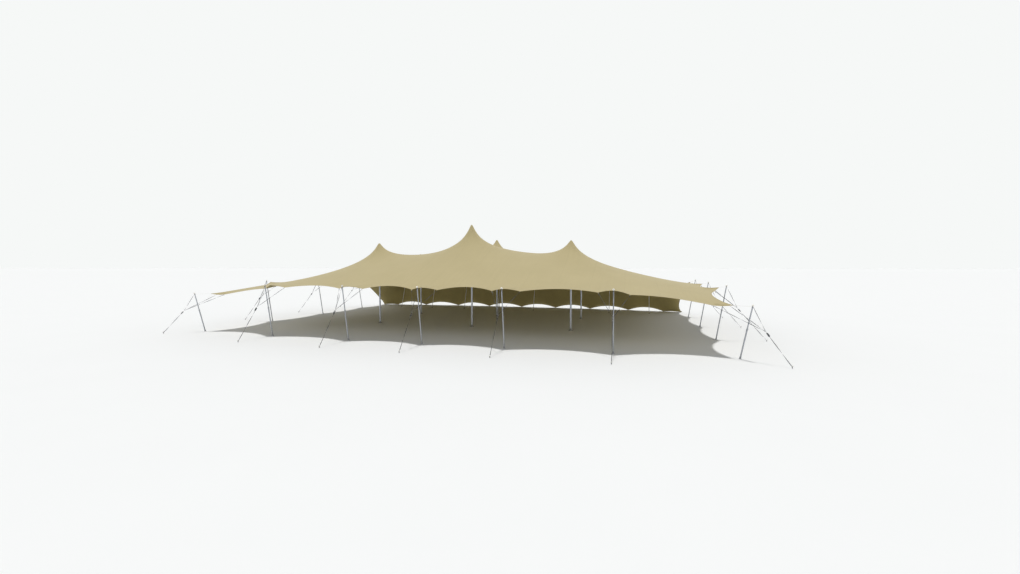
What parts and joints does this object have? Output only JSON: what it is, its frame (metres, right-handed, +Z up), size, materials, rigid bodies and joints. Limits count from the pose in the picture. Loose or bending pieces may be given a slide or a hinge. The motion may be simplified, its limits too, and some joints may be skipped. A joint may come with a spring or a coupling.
{
  "type": "stretch tent",
  "caption": "Large freeform stretch-fabric event tent: one sand-coloured sheet peaked over king poles, open at the front and both ends on guyed edge poles, pegged to the ground at the back.",
  "frame": {"origin": "on the ground at the middle of the footprint, pegs included", "axes": "+X to the right seen from the open front, +Y from the open front to the pegged back, +Z up"},
  "size_m": [31.6964, 21.8764, 6.1696],
  "materials": {
    "canopy_fabric": "matte coated stretch cloth",
    "pole_metal": "satin tube",
    "guy_webbing": "woven strap"
  },
  "bodies": {
    "root": {"canopy": "canopy_fabric", "king_pole_front_left": "pole_metal", "king_pole_front_centre": "pole_metal", "king_pole_front_right": "pole_metal", "king_pole_back_left": "pole_metal", "king_pole_back_centre": "pole_metal", "king_pole_back_right": "pole_metal", "front_pole_1": "pole_metal", "front_pole_2": "pole_metal", "front_pole_3": "pole_metal", "front_pole_4": "pole_metal", "front_pole_5": "pole_metal", "front_pole_6": "pole_metal", "front_pole_7": "pole_metal", "left_pole_1": "pole_metal", "left_pole_2": "pole_metal", "left_pole_3": "pole_metal", "right_pole_1": "pole_metal", "right_pole_2": "pole_metal", "right_pole_3": "pole_metal", "front_guy_1": "guy_webbing", "front_guy_2": "guy_webbing", "front_guy_3": "guy_webbing", "front_guy_4": "guy_webbing", "front_guy_5": "guy_webbing", "front_guy_6": "guy_webbing", "front_guy_7": "guy_webbing", "left_guy_1": "guy_webbing", "left_guy_2": "guy_webbing", "left_guy_3": "guy_webbing", "right_guy_1": "guy_webbing", "right_guy_2": "guy_webbing", "right_guy_3": "guy_webbing", "back_prop_1": "pole_metal", "back_prop_2": "pole_metal", "back_prop_3": "pole_metal", "back_prop_4": "pole_metal", "back_prop_5": "pole_metal", "back_prop_6": "pole_metal", "back_prop_7": "pole_metal", "back_prop_8": "pole_metal", "hem_line_1": "guy_webbing", "hem_line_2": "guy_webbing", "hem_line_3": "guy_webbing", "hem_line_4": "guy_webbing"}
  },
  "joints": []
}
